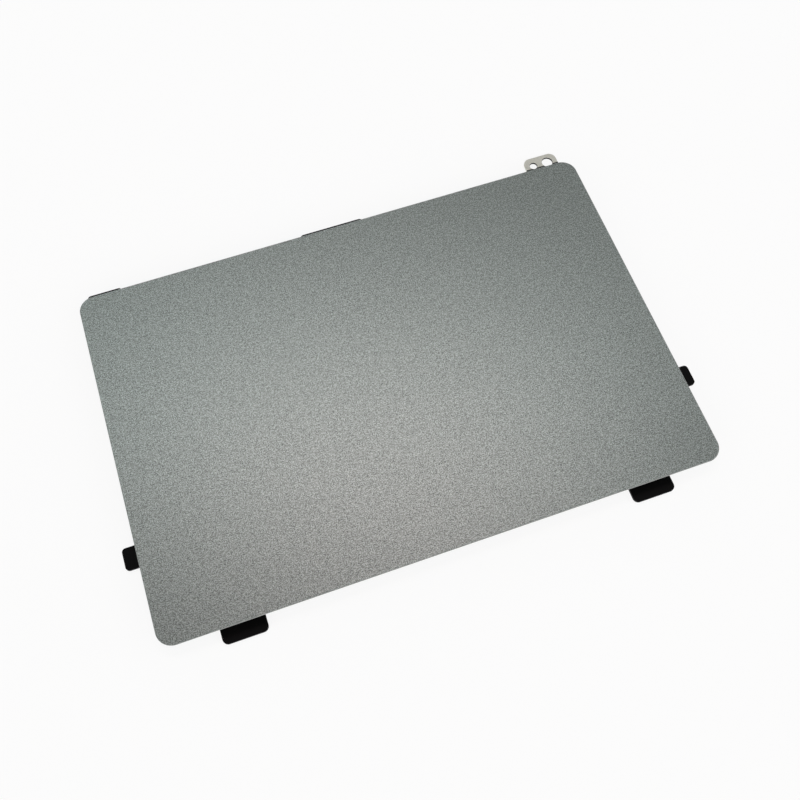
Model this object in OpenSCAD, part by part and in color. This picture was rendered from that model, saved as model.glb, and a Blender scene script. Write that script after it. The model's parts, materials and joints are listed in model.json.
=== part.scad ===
// Click-type trackpad module of a portable computer. A film-faced sensor board tilts on two spring leaves
// over a stamped base frame, and presses a push switch at the front against an anvil on that frame.
// Millimetres. +X is right, +Y is to the rear, +Z is up. The base frame's underside lies at z = 0, and the
// origin is under the middle of the whole part. Places named "from the centre" start at the film's centre.

/* [Touch surface] */
// Width of the touch film, left to right
film_w = 105; // [96:0.5:125]
// Depth of the touch film, front to rear
film_d = 70.5; // [62:0.5:85]
// Radius of the film's corners
film_corner_r = 3; // [1.5:0.25:6]
// Thickness of the touch film
film_t = 0.3; // [0.15:0.05:0.7]
// Thickness of the adhesive under the film
adhesive_t = 0.1; // [0.05:0.05:0.3]
// How far the adhesive's edge lies inside the board's edge
adhesive_inset = 0.3; // [0.1:0.1:1]

/* [Sensor board] */
// Thickness of the sensor board
board_t = 1; // [0.6:0.1:1.6]
// How far the board's edge lies inside the film's edge
board_inset = 0.5; // [0.3:0.1:1.2]

/* [Base frame] */
// Sheet thickness of the base frame
frame_t = 0.6; // [0.4:0.05:1]
// How far the frame's edge lies inside the film's edge
frame_inset = 1.5; // [1:0.1:3]
// Radius of the frame's corners
frame_corner_r = 2.5; // [1:0.25:5]
// Width of the front rail
front_rail_w = 12; // [10:0.5:16]
// Width of the rear rail
rear_rail_w = 9.75; // [8:0.25:13]
// Width of each side rail
side_rail_w = 8; // [5:0.5:12]
// Width of the bridge between the two windows
bridge_w = 14; // [8:0.5:20]
// Radius of the windows' corners
window_r = 2; // [0.5:0.25:5]

/* [Frame tongues] */
// Width of each front tongue
front_tongue_w = 8.1; // [4:0.1:12]
// How far the front tongues stand out past the film
front_tongue_reach = 2.2; // [1:0.05:4]
// Distance of a front tongue's middle from the film's side edge
front_tongue_setback = 14.1; // [9:0.05:25]
// Width of each side tongue
side_tongue_w = 4.15; // [2.5:0.05:8]
// How far the side tongues stand out past the film
side_tongue_reach = 2.9; // [1:0.05:4]
// Distance of a side tongue's middle from the film's front edge
side_tongue_setback = 17.8; // [10:0.05:30]
// Width of the corner tongue at the rear left
corner_tongue_w = 6.8; // [3:0.1:7.4]
// Distance of the corner tongue's middle from the ear's mirror place, outward
corner_tongue_shift = 0.3; // [0:0.05:0.4]
// Width of the tongue at the middle of the rear edge
middle_tongue_w = 13.2; // [6:0.1:20]
// How far the rear tongues stand out past the film
rear_tongue_reach = 2.1; // [1:0.05:4]
// Radius of the front tongues' corners
front_tongue_r = 1; // [0.3:0.1:1.5]
// Radius of the rear tongues' corners
rear_tongue_r = 0.6; // [0.3:0.1:1.5]
// Radius of the side tongues' corners
side_tongue_r = 0.7; // [0.3:0.1:1.2]

/* [Hinge bracket] */
// Sheet thickness of the hinge bracket
bracket_t = 0.4; // [0.3:0.05:0.8]
// Width of the bracket's strip, front to rear
bracket_w = 5; // [4:0.25:6.5]
// Distance of the strip's rear edge from the frame's rear edge
bracket_setback = 0.5; // [0.2:0.1:1.5]
// Width of the ear
ear_w = 7.2; // [6.5:0.1:9]
// How far the ear stands out past the film
ear_reach = 4.45; // [4.2:0.05:7]
// Distance of the ear's middle from the film's side edge
ear_setback = 5.3; // [5.2:0.1:9]
// Radius of the ear's corners
ear_r = 1.5; // [0.4:0.1:1.8]
// Diameter of the ear's screw hole
screw_hole_d = 2.3; // [1.8:0.1:2.8]
// Diameter of the ear's locating hole
locating_hole_d = 1.6; // [0.8:0.1:1.8]
// Distance of the locating hole from the ear's middle
locating_hole_shift = 1.75; // [1.2:0.05:2]
// Distance between the ear's two holes
ear_hole_pitch = 3.15; // [2.8:0.05:3.6]
// Distance of the ear's holes from its tip
ear_hole_setback = 2; // [1.6:0.1:2.5]

/* [Spring leaves] */
// Thickness of each spring leaf
leaf_t = 0.2; // [0.1:0.05:0.3]
// Width of each spring leaf
leaf_w = 18; // [14:0.5:22]
// Distance of a leaf's middle from the frame's side edge
leaf_setback = 21; // [18:0.5:25]
// Width of the slot in each leaf
leaf_slot_w = 8; // [4:0.5:9]
// Distance between the two fixings at each end of a leaf
leaf_fixing_pitch = 12; // [10:0.5:13]

/* [Rivets] */
// Diameter of a rivet's shank
rivet_d = 1.2; // [0.8:0.1:1.6]
// Diameter of a rivet's heads
rivet_head_d = 2.2; // [1.8:0.1:2.8]
// Height of a rivet's upper head
rivet_head_h = 0.3; // [0.15:0.05:0.5]
// Depth of the sunk seat for a rivet's lower head
rivet_seat_h = 0.3; // [0.15:0.05:0.35]

/* [Standoffs and screws] */
// Height of the standoffs between leaf and board
standoff_h = 0.8; // [0.6:0.05:1.5]
// Diameter of the standoffs on the leaves
standoff_d = 3; // [2.4:0.1:4]
// Diameter of the screws' shanks
screw_d = 1.2; // [1:0.1:1.6]
// Diameter of the leaf screws' heads
screw_head_d = 2.4; // [2:0.1:3]
// Height of the leaf screws' heads
screw_head_h = 0.35; // [0.25:0.05:0.6]
// Width of the cross slot in a screw head
drive_slot_w = 0.3; // [0.2:0.05:0.5]
// Depth of the cross slot in a screw head
drive_slot_h = 0.18; // [0.1:0.02:0.22]

/* [Travel limits] */
// Distance of the front limiters from the centre
limiter_x = 24; // [14:0.5:28]
// Height of the raised seat that holds a limiter
limiter_seat_h = 0.8; // [0.6:0.05:1]
// Thickness of the raised seat's side wall
limiter_side_wall = 0.7; // [0.4:0.1:1.2]
// Thickness of the raised seat's top wall
limiter_wall = 0.5; // [0.3:0.05:0.6]
// Diameter of a limiter's standoff
limiter_d = 2.6; // [2.2:0.1:3]
// Diameter of a limiter's screw head
limiter_head_d = 4.6; // [4.2:0.1:4.8]
// Height of a limiter's screw head
limiter_head_h = 0.4; // [0.25:0.05:0.5]
// Thickness of the soft washer on a limiter's head
washer_t = 0.1; // [0.05:0.05:0.2]
// Width and depth of a bump pad
bump_w = 6; // [3:0.5:8]
// Distance of a bump pad's middle from the frame's side edge
bump_setback = 6.5; // [5:0.5:9]
// Free height over a bump pad at rest
bump_gap = 0.4; // [0.3:0.05:0.6]

/* [Push switch] */
// Least thickness of the switch base's side walls
switch_wall = 0.5; // [0.3:0.05:1]
// Thickness of the floor under the dome
switch_floor_t = 0.15; // [0.1:0.01:0.2]
// Diameter of the snap dome
dome_d = 3.8; // [3:0.1:4]
// Height of the snap dome
dome_h = 0.25; // [0.2:0.01:0.3]
// Sheet thickness of the snap dome
dome_t = 0.05; // [0.03:0.01:0.08]
// Thickness of the plunger's flange
flange_t = 0.13; // [0.08:0.01:0.16]
// Diameter of the plunger's stem
stem_d = 2.2; // [1.4:0.1:2.4]
// Sheet thickness of the switch cover
cover_t = 0.1; // [0.06:0.02:0.15]
// Width of the clips on the cover's sides
clip_w = 2.4; // [1:0.1:4]
// Width of each switch terminal
terminal_w = 0.8; // [0.4:0.1:1.2]
// How far the terminals stand out from the switch base
terminal_reach = 0.8; // [0.4:0.1:1.2]
// Sheet thickness of the switch terminals
terminal_t = 0.15; // [0.08:0.01:0.2]
// Distance between the two terminals on one side
terminal_pitch = 3.2; // [1.5:0.1:3.6]
// Diameter of the anvil button
anvil_d = 3; // [2.4:0.1:4]
// Height of the anvil button over the frame
anvil_h = 0.3; // [0.2:0.05:0.35]
// Diameter of the anvil's spigot in the frame
anvil_spigot_d = 1.6; // [1:0.1:2]

/* [Cable socket] */
// Number of contacts in the cable socket
contact_count = 8; // [4:1:12]
// Distance between contacts
contact_pitch = 0.5; // [0.5:0.05:0.6]
// Width of a contact
contact_w = 0.2; // [0.12:0.02:0.26]
// Sheet thickness of a contact
contact_t = 0.12; // [0.08:0.02:0.16]
// How far the contact tails stand out behind the socket
contact_tail = 0.55; // [0.3:0.05:0.8]
// Width of the socket's side wall beyond the cable slot
socket_cheek_w = 1.9; // [1.6:0.1:2.6]
// Depth of the socket, front to rear
socket_d = 3.8; // [3.6:0.1:5]
// Height of the socket
socket_h = 1; // [1:0.05:1.4]
// Height of the cable slot over the board
slot_z = 0.3; // [0.25:0.01:0.34]
// Height of the cable slot
slot_h = 0.35; // [0.2:0.05:0.4]
// Depth of the cable slot
slot_d = 1.8; // [1.2:0.1:1.85]
// Clear distance between the socket and the bridge
socket_gap = 2.8; // [1.5:0.1:6]
// Distance of the socket's middle behind the centre
socket_y = 12; // [2:0.5:14]
// Thickness of the flip latch
latch_t = 0.42; // [0.3:0.02:0.44]
// Length of the flip latch from its pivot to its lip
latch_l = 1.65; // [1.5:0.05:1.9]
// Diameter of the latch's pivot pins
pivot_d = 0.36; // [0.24:0.02:0.4]
// Length of each pivot pin
pivot_l = 0.35; // [0.2:0.05:0.45]
// Width of a solder anchor, front to rear
anchor_w = 1.2; // [0.8:0.1:2]
// How far a solder anchor stands out sideways
anchor_reach = 0.7; // [0.4:0.1:1]
// Height of a solder anchor on the socket's side
anchor_h = 0.7; // [0.4:0.1:0.9]
// Sheet thickness of a solder anchor
anchor_t = 0.15; // [0.1:0.01:0.2]

/* [Board components] */
// Distance of the controller chip from the centre, to the right
controller_x = 23; // [19:0.5:28]
// Distance of the controller chip behind the centre
controller_y = 3; // [-6:0.5:6]
// Width and depth of the controller chip
controller_w = 7; // [5:0.5:9]
// Height of the controller chip
controller_h = 0.85; // [0.6:0.05:1]
// Width of the memory chip
memory_w = 3; // [2:0.1:4]
// Depth of the memory chip
memory_d = 2; // [1.5:0.1:4]
// Height of the memory chip
memory_h = 0.6; // [0.4:0.05:1]
// Width of the regulator chip
regulator_w = 2.9; // [2:0.1:4]
// Depth of the regulator chip
regulator_d = 1.6; // [1.2:0.1:3]
// Height of the regulator chip
regulator_h = 0.9; // [0.5:0.05:1]
// Width of a surge diode
diode_w = 1; // [0.8:0.1:1.6]
// Depth of a surge diode
diode_d = 0.6; // [0.5:0.1:1.2]
// Height of a surge diode
diode_h = 0.5; // [0.3:0.05:0.8]
// Length of a capacitor
capacitor_l = 1.6; // [1:0.1:1.8]
// Width of a capacitor
capacitor_w = 0.8; // [0.5:0.05:0.9]
// Height of a capacitor
capacitor_h = 0.8; // [0.4:0.05:0.9]
// Length of a resistor
resistor_l = 1; // [0.6:0.1:1.6]
// Width of a resistor
resistor_w = 0.5; // [0.3:0.05:0.8]
// Height of a resistor
resistor_h = 0.35; // [0.2:0.05:0.5]
// Number of capacitors in each row beside the controller
capacitor_count = 4; // [2:1:5]
// Number of resistors in each row beside the controller
resistor_count = 5; // [2:1:6]
// Distance between parts in a row
part_pitch = 1.7; // [1.5:0.1:2.4]
// Clear distance between the controller and the rows beside it
part_gap = 1.5; // [0.8:0.1:3]

/* [Clearances] */
// Radial clearance of a rivet, screw or spigot in its hole
fixing_clearance = 0.05; // [0.02:0.01:0.1]
// Radial clearance of a limiter in the seat's hole
limiter_clearance = 0.3; // [0.15:0.05:0.4]
// Radial clearance of a limiter's head in the seat's pocket
limiter_head_clearance = 0.4; // [0.2:0.05:0.6]
// Clearance between a limiter's washer and the seat above it
washer_clearance = 0.02; // [0:0.01:0.05]
// Clearance of the plunger over the anvil and under the dome
plunger_clearance = 0.03; // [0.02:0.01:0.05]
// Radial clearance of the snap dome in the switch base
dome_clearance = 0.2; // [0.1:0.05:0.3]
// Radial clearance of the plunger's flange in the switch base
flange_clearance = 0.4; // [0.2:0.05:0.6]
// Free height between the plunger's flange and the cover
flange_play = 0.09; // [0.05:0.01:0.15]
// Radial clearance of the plunger's stem in the cover
stem_clearance = 0.1; // [0.05:0.01:0.15]
// Side clearance of a contact in its groove
contact_clearance = 0.03; // [0.02:0.01:0.05]
// Clearance of the flip latch in its recess
latch_clearance = 0.05; // [0.03:0.01:0.08]
// Radial clearance of a pivot pin in its bore
pivot_clearance = 0.02; // [0.01:0.01:0.04]
// Clear distance between the leaf screws' heads and the rear rail
rail_clearance = 0.8; // [0.4:0.1:2]

/* [Hidden] */
$fn = 64;
// Overshoot of a cut past the face that it leaves
cut = 0.5;
sides = [-1, 1];

// Small margins and roundings that follow no other size
leaf_edge = 0.3;
leaf_corner_r = 0.8;
screw_tip_gap = 0.1;
latch_cheek_w = 0.65;
slot_wall = 0.2;
contact_mouth_gap = 0.2;
contact_bump_w = 0.4;
contact_bump_rise = 0.05;
drive_slot_share = 0.6;
dome_facets = 360;

// Stack of heights, from the base frame's underside to the touch surface
frame_top = frame_t;
bracket_top = frame_top + bracket_t;
leaf_top = bracket_top + leaf_t;
board_z = leaf_top + standoff_h;
board_top = board_z + board_t;
film_z = board_top + adhesive_t;

// The film's centre lies in front of the part's centre, as the ear stands out more than the tongues
film_y = (front_tongue_reach - ear_reach) / 2;

board_w = film_w - 2 * board_inset;
board_d = film_d - 2 * board_inset;
board_r = film_corner_r - board_inset;

frame_w = film_w - 2 * frame_inset;
frame_d = film_d - 2 * frame_inset;
window_w = frame_w / 2 - side_rail_w - bridge_w / 2;
window_d = frame_d - front_rail_w - rear_rail_w;
window_x = (bridge_w + window_w) / 2;
window_y = (front_rail_w - rear_rail_w) / 2;
front_row_y = (front_rail_w - frame_d) / 2;
rear_rail_y = frame_d / 2 - rear_rail_w;
front_tongue_x = film_w / 2 - front_tongue_setback;
side_tongue_y = side_tongue_setback - film_d / 2;

ear_x = film_w / 2 - ear_setback;
ear_hole_y = film_d / 2 + ear_reach - ear_hole_setback;
bracket_l = 2 * ear_x + ear_w;
bracket_y = frame_d / 2 - bracket_setback - bracket_w / 2;

leaf_x = frame_w / 2 - leaf_setback;
standoff_y = rear_rail_y - rail_clearance - screw_head_d / 2;
leaf_rear_y = bracket_y + bracket_w / 2 - leaf_edge;
leaf_front_y = standoff_y - standoff_d / 2 - leaf_edge;
// The leaves bend between the bracket's front edge and the standoffs, and the hinge axis lies halfway
leaf_span = bracket_y - bracket_w / 2 - standoff_y - standoff_d / 2;
hinge_y = standoff_y + standoff_d / 2 + leaf_span / 2;
leaf_slot_l = leaf_span - 2 * leaf_edge;

fixing_hole_d = rivet_d + 2 * fixing_clearance;
screw_hole_fit_d = screw_d + 2 * fixing_clearance;
rivet_lower_head_h = rivet_seat_h - fixing_clearance;

limiter_pocket_d = limiter_head_d + 2 * limiter_head_clearance;
limiter_seat_d = limiter_pocket_d + 2 * limiter_side_wall;
limiter_ceiling = frame_top + limiter_seat_h - limiter_wall;
limiter_head_top = limiter_ceiling - washer_clearance - washer_t;
limiter_hole_d = limiter_d + 2 * limiter_clearance;
bump_x = frame_w / 2 - bump_setback;
bump_t = board_z - bump_gap - frame_top;

// Heights inside the switch and the socket are measured downward from the board's underside
switch_hollow_d = dome_d + 2 * dome_clearance;
switch_w = switch_hollow_d + 2 * switch_wall;
flange_d = switch_hollow_d - 2 * flange_clearance;
flange_z = switch_floor_t + dome_h + plunger_clearance;
switch_h = flange_z + flange_t + flange_play;
dome_r = (dome_d * dome_d / 4 + dome_h * dome_h) / (2 * dome_h);
anvil_top = frame_top + anvil_h;
stem_l = board_z - anvil_top - plunger_clearance - flange_z;
clip_h = switch_h / 2;

slot_w = (contact_count + 1) * contact_pitch;
socket_w = slot_w + 2 * socket_cheek_w;
socket_x = -(bridge_w + socket_w) / 2 - socket_gap;
latch_w = socket_w - 2 * latch_cheek_w;
recess_floor = socket_h - latch_t - 2 * latch_clearance;
recess_l = socket_d - slot_d - slot_wall;
pivot_y = -socket_d / 2 + recess_l - latch_t / 2 - 2 * latch_clearance;
pivot_z = recess_floor + latch_clearance + latch_t / 2;
contact_bump_h = slot_z + contact_bump_rise;

memory_x = controller_x + controller_w / 2 + resistor_l + memory_w / 2 + 2 * part_gap;
regulator_y = controller_y + controller_w / 2 + capacitor_l + regulator_d / 2 + 2 * part_gap;
diode_x = (socket_w + diode_w) / 2 + anchor_reach + part_gap;

// Carries the pieces from the film's centre to their place in the part
module from_centre(x = 0, y = 0, z = 0) {
  translate([x, film_y + y, z]) children();
}

// Turns pieces upside down at a place on the board's underside
module under_board(x, y) {
  from_centre(x, y, board_z) mirror([0, 0, 1]) children();
}

// Flat outline with four round corners
module rounded_outline(w, d, r) {
  square([w - 2 * r, d], center = true);
  square([w, d - 2 * r], center = true);
  for (sx = sides, sy = sides)
    translate([sx * (w / 2 - r), sy * (d / 2 - r)]) circle(r);
}

// Flat outline of a tab that runs from the origin along +Y and ends in two round corners
module tab_outline(w, l, r) {
  translate([-w / 2, 0]) square([w, l - r]);
  translate([r - w / 2, 0]) square([w - 2 * r, l]);
  for (sx = sides)
    translate([sx * (w / 2 - r), l - r]) circle(r);
}

// Row of equal blocks along Y, centred on the origin
module block_row(size, count = 1) {
  for (i = [0 : count - 1])
    translate([0, (i - (count - 1) / 2) * part_pitch, size.z / 2]) cube(size, center = true);
}

// The fixing points at one end of the two leaves
module leaf_fixings(y) {
  for (sx = sides, sp = sides)
    from_centre(sx * leaf_x + sp * leaf_fixing_pitch / 2, y) children();
}

module limiter_places() {
  for (sx = sides)
    from_centre(sx * limiter_x, front_row_y) children();
}

module bracket_rivet_places() {
  for (x = [-ear_x, 0, ear_x])
    from_centre(x, bracket_y) children();
}

// Rivet with a sunk lower head and a coned upper head whose seat lies at the given height
module rivet(seat_z) {
  translate([0, 0, fixing_clearance]) cylinder(h = rivet_lower_head_h, d = rivet_head_d);
  translate([0, 0, fixing_clearance]) cylinder(h = seat_z - fixing_clearance + rivet_head_h / 2, d = rivet_d);
  translate([0, 0, seat_z]) cylinder(h = rivet_head_h, d1 = rivet_head_d, d2 = rivet_d);
}

// Screw that points up from a head with a cross slot; the head's seat lies at z = 0
module screw(head_d, head_h, shank_l) {
  cylinder(h = shank_l, d = screw_d);
  difference() {
    translate([0, 0, -head_h]) cylinder(h = head_h, d = head_d);
    for (turn = [0, 90])
      rotate(turn)
        translate([0, 0, drive_slot_h / 2 - head_h - cut / 2])
          cube([head_d * drive_slot_share, drive_slot_w, drive_slot_h + cut], center = true);
  }
}

module touch_film() {
  color("#8f9391")
    from_centre(z = film_z) linear_extrude(film_t) rounded_outline(film_w, film_d, film_corner_r);
}

module film_adhesive() {
  color("#30343a")
    from_centre(z = board_top)
      linear_extrude(adhesive_t)
        rounded_outline(board_w - 2 * adhesive_inset, board_d - 2 * adhesive_inset, board_r);
}

module sensor_board() {
  color("#1d4a34")
    from_centre(z = board_z) linear_extrude(board_t) rounded_outline(board_w, board_d, board_r);
}

module controller_chip() {
  color("#1c1d20")
    under_board(controller_x, controller_y)
      translate([0, 0, controller_h / 2]) cube([controller_w, controller_w, controller_h], center = true);
}

module memory_chip() {
  color("#232428")
    under_board(memory_x, controller_y) block_row([memory_w, memory_d, memory_h]);
}

module regulator_chip() {
  color("#232428")
    under_board(controller_x, regulator_y) block_row([regulator_w, regulator_d, regulator_h]);
}

module surge_diodes() {
  color("#2c2d31")
    for (sx = sides)
      under_board(socket_x + sx * diode_x, socket_y) block_row([diode_w, diode_d, diode_h]);
}

// Capacitors stand in two rows, left of the controller and behind it
module capacitors() {
  size = [capacitor_l, capacitor_w, capacitor_h];
  row_shift = controller_w / 2 + part_gap + capacitor_l / 2;
  color("#a98d66") {
    under_board(controller_x - row_shift, controller_y) block_row(size, capacitor_count);
    under_board(controller_x, controller_y + row_shift) rotate(90) block_row(size, capacitor_count);
  }
}

// Resistors stand in two rows, right of the controller and in front of it
module resistors() {
  size = [resistor_l, resistor_w, resistor_h];
  row_shift = controller_w / 2 + part_gap + resistor_l / 2;
  color("#2a2b2f") {
    under_board(controller_x + row_shift, controller_y) block_row(size, resistor_count);
    under_board(controller_x, controller_y - row_shift) rotate(90) block_row(size, resistor_count);
  }
}

// The socket's mouth faces the rear, and the flip latch lies in a recess at its front end
module socket_housing() {
  groove_w = contact_w + 2 * contact_clearance;
  recess_w = latch_w + 2 * latch_clearance;
  bore_l = pivot_l + pivot_clearance + latch_clearance;
  color("#d8d2c2")
    under_board(socket_x, socket_y)
      difference() {
        translate([-socket_w / 2, -socket_d / 2, 0]) cube([socket_w, socket_d, socket_h]);
        translate([-slot_w / 2, socket_d / 2 - slot_d, slot_z]) cube([slot_w, slot_d + cut, slot_h]);
        translate([-recess_w / 2, -socket_d / 2 - cut, recess_floor])
          cube([recess_w, recess_l + cut, socket_h]);
        for (i = [0 : contact_count - 1])
          translate([(i - (contact_count - 1) / 2) * contact_pitch - groove_w / 2, -socket_d / 2 - cut, -cut])
            cube([groove_w, socket_d - contact_mouth_gap + contact_clearance + cut, slot_z + cut]);
        for (sx = sides)
          translate([sx * (recess_w / 2 + bore_l / 2), pivot_y, pivot_z])
            rotate([0, 90, 0])
              cylinder(h = bore_l + 2 * latch_clearance, d = pivot_d + 2 * pivot_clearance, center = true);
      }
}

module socket_contacts() {
  contact_l = contact_tail + socket_d - contact_mouth_gap;
  color("#c9a24a")
    under_board(socket_x, socket_y)
      for (i = [0 : contact_count - 1])
        translate([(i - (contact_count - 1) / 2) * contact_pitch - contact_w / 2, 0, 0]) {
          translate([0, -socket_d / 2 - contact_tail, 0]) cube([contact_w, contact_l, contact_t]);
          translate([0, (socket_d - slot_d) / 2, 0]) cube([contact_w, contact_bump_w, contact_bump_h]);
        }
}

module socket_anchors() {
  color("#b9bcc0")
    under_board(socket_x, socket_y)
      for (sx = sides)
        translate([sx * socket_w / 2, 0, 0]) {
          translate([sx * anchor_reach / 2, 0, anchor_t / 2])
            cube([anchor_reach, anchor_w, anchor_t], center = true);
          translate([sx * anchor_t / 2, 0, anchor_h / 2]) cube([anchor_t, anchor_w, anchor_h], center = true);
        }
}

// Flip latch that turns downward on two pivot pins, with a lip past the socket's end
module socket_latch() {
  color("#3a2f2a")
    under_board(socket_x, socket_y)
      translate([0, pivot_y, pivot_z]) {
        rotate([0, 90, 0]) cylinder(h = latch_w, d = latch_t, center = true);
        rotate([0, 90, 0]) cylinder(h = latch_w + 2 * pivot_l, d = pivot_d, center = true);
        translate([-latch_w / 2, -latch_l, -latch_t / 2]) cube([latch_w, latch_l, latch_t]);
      }
}

module switch_base() {
  color("#26272a")
    under_board(0, front_row_y)
      difference() {
        translate([0, 0, switch_h / 2]) cube([switch_w, switch_w, switch_h], center = true);
        translate([0, 0, switch_floor_t]) cylinder(h = switch_h, d = switch_hollow_d);
      }
}

module switch_dome() {
  color("#c8c4b8")
    under_board(0, front_row_y)
      translate([0, 0, switch_floor_t])
        rotate_extrude()
          intersection() {
            translate([0, dome_h - dome_r])
              difference() {
                circle(dome_r, $fn = dome_facets);
                circle(dome_r - dome_t, $fn = dome_facets);
              }
            square([dome_d / 2, dome_h]);
          }
}

module switch_plunger() {
  color("#e4e0d4")
    under_board(0, front_row_y)
      translate([0, 0, flange_z]) {
        cylinder(h = flange_t, d = flange_d);
        cylinder(h = stem_l, d = stem_d);
      }
}

module switch_cover() {
  color("#aeb2b6")
    under_board(0, front_row_y) {
      difference() {
        translate([0, 0, switch_h + cover_t / 2])
          cube([switch_w + 2 * cover_t, switch_w, cover_t], center = true);
        cylinder(h = switch_h + cover_t + cut, d = stem_d + 2 * stem_clearance);
      }
      for (sx = sides)
        translate([sx * (switch_w + cover_t) / 2, 0, switch_h - clip_h / 2])
          cube([cover_t, clip_w, clip_h], center = true);
    }
}

module switch_terminals() {
  color("#b9bcc0")
    under_board(0, front_row_y)
      for (sx = sides, sy = sides)
        translate([sx * terminal_pitch / 2, sy * (switch_w + terminal_reach) / 2, terminal_t / 2])
          cube([terminal_w, terminal_reach, terminal_t], center = true);
}

module hinge_standoffs() {
  color("#b58f45")
    leaf_fixings(standoff_y)
      translate([0, 0, leaf_top])
        difference() {
          cylinder(h = standoff_h, d = standoff_d);
          translate([0, 0, -cut]) cylinder(h = standoff_h + 2 * cut, d = screw_hole_fit_d);
        }
}

module hinge_screws() {
  color("#c2c5c8")
    leaf_fixings(standoff_y)
      translate([0, 0, bracket_top]) screw(screw_head_d, screw_head_h, leaf_t + standoff_h - screw_tip_gap);
}

module limiter_standoffs() {
  color("#b58f45")
    limiter_places()
      difference() {
        translate([0, 0, limiter_head_top]) cylinder(h = board_z - limiter_head_top, d = limiter_d);
        translate([0, 0, limiter_head_top - cut]) cylinder(h = board_z, d = screw_hole_fit_d);
      }
}

module limiter_screws() {
  color("#c2c5c8")
    limiter_places()
      translate([0, 0, limiter_head_top])
        screw(limiter_head_d, limiter_head_h, board_z - limiter_head_top - screw_tip_gap);
}

module limiter_washers() {
  color("#2b2b2d")
    limiter_places()
      translate([0, 0, limiter_head_top])
        difference() {
          cylinder(h = washer_t, d = limiter_head_d);
          translate([0, 0, -cut]) cylinder(h = washer_t + 2 * cut, d = limiter_d + 2 * fixing_clearance);
        }
}

// Stamped sheet with two windows, tongues on all four edges and two raised limiter seats
module base_frame() {
  color("#17181a")
    difference() {
      union() {
        from_centre() linear_extrude(frame_t) frame_outline();
        limiter_places() cylinder(h = frame_top + limiter_seat_h, d = limiter_seat_d);
      }
      limiter_places() {
        translate([0, 0, -cut]) cylinder(h = limiter_ceiling + cut, d = limiter_pocket_d);
        cylinder(h = limiter_ceiling + limiter_wall + cut, d = limiter_hole_d);
      }
      leaf_fixings(bracket_y) rivet_hole();
      bracket_rivet_places() rivet_hole();
      from_centre(0, front_row_y, -cut)
        cylinder(h = frame_t + 2 * cut, d = anvil_spigot_d + 2 * fixing_clearance);
    }
}

module frame_outline() {
  front_l = front_tongue_reach + frame_inset + front_rail_w / 2;
  side_l = side_tongue_reach + frame_inset + side_rail_w / 2;
  rear_l = rear_tongue_reach + frame_inset + rear_rail_w / 2;
  difference() {
    rounded_outline(frame_w, frame_d, frame_corner_r);
    for (sx = sides)
      translate([sx * window_x, window_y]) rounded_outline(window_w, window_d, window_r);
  }
  for (sx = sides) {
    translate([sx * front_tongue_x, (front_rail_w - frame_d) / 2])
      rotate(180) tab_outline(front_tongue_w, front_l, front_tongue_r);
    translate([sx * (frame_w - side_rail_w) / 2, side_tongue_y])
      rotate(-90 * sx) tab_outline(side_tongue_w, side_l, side_tongue_r);
  }
  translate([-ear_x - corner_tongue_shift, (frame_d - rear_rail_w) / 2])
    tab_outline(corner_tongue_w, rear_l, rear_tongue_r);
  translate([0, (frame_d - rear_rail_w) / 2]) tab_outline(middle_tongue_w, rear_l, rear_tongue_r);
}

// Hole for a rivet's shank with a sunk seat for its lower head
module rivet_hole() {
  translate([0, 0, -cut]) cylinder(h = rivet_seat_h + cut, d = rivet_head_d + 2 * fixing_clearance);
  translate([0, 0, -cut]) cylinder(h = frame_t + 2 * cut, d = fixing_hole_d);
}

// Strip on the rear rail that runs out into the ear with the screw hole and the locating hole
module hinge_bracket() {
  ear_l = film_d / 2 + ear_reach - bracket_y;
  locating_hole_x = ear_x - locating_hole_shift;
  color("#b4b4ac")
    difference() {
      from_centre(z = frame_top)
        linear_extrude(bracket_t) {
          translate([0, bracket_y]) square([bracket_l, bracket_w], center = true);
          translate([ear_x, bracket_y]) tab_outline(ear_w, ear_l, ear_r);
        }
      from_centre(locating_hole_x + ear_hole_pitch, ear_hole_y)
        cylinder(h = bracket_top + cut, d = screw_hole_d);
      from_centre(locating_hole_x, ear_hole_y) cylinder(h = bracket_top + cut, d = locating_hole_d);
      leaf_fixings(bracket_y) cylinder(h = bracket_top + cut, d = fixing_hole_d);
      bracket_rivet_places() cylinder(h = bracket_top + cut, d = fixing_hole_d);
    }
}

module bracket_rivets() {
  color("#9a9da1") bracket_rivet_places() rivet(bracket_top);
}

module leaf_rivets() {
  color("#9a9da1") leaf_fixings(bracket_y) rivet(leaf_top);
}

// Spring leaf with a slot across its bending span and two fixings at each end
module hinge_leaf(side) {
  color("#8f979e")
    from_centre(side * leaf_x, 0, bracket_top)
      linear_extrude(leaf_t)
        difference() {
          translate([0, (leaf_rear_y + leaf_front_y) / 2])
            rounded_outline(leaf_w, leaf_rear_y - leaf_front_y, leaf_corner_r);
          translate([0, hinge_y]) square([leaf_slot_w, leaf_slot_l], center = true);
          for (sp = sides) {
            translate([sp * leaf_fixing_pitch / 2, bracket_y]) circle(d = fixing_hole_d);
            translate([sp * leaf_fixing_pitch / 2, standoff_y]) circle(d = screw_hole_fit_d);
          }
        }
}

module hinge_leaf_left() {
  hinge_leaf(-1);
}

module hinge_leaf_right() {
  hinge_leaf(1);
}

module anvil_button() {
  color("#b9bcc0")
    from_centre(0, front_row_y) {
      translate([0, 0, frame_top]) cylinder(h = anvil_h, d = anvil_d);
      cylinder(h = frame_top + anvil_h / 2, d = anvil_spigot_d);
    }
}

module bump_pads() {
  color("#242426")
    for (sx = sides)
      from_centre(sx * bump_x, front_row_y, frame_top + bump_t / 2)
        cube([bump_w, bump_w, bump_t], center = true);
}

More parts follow.
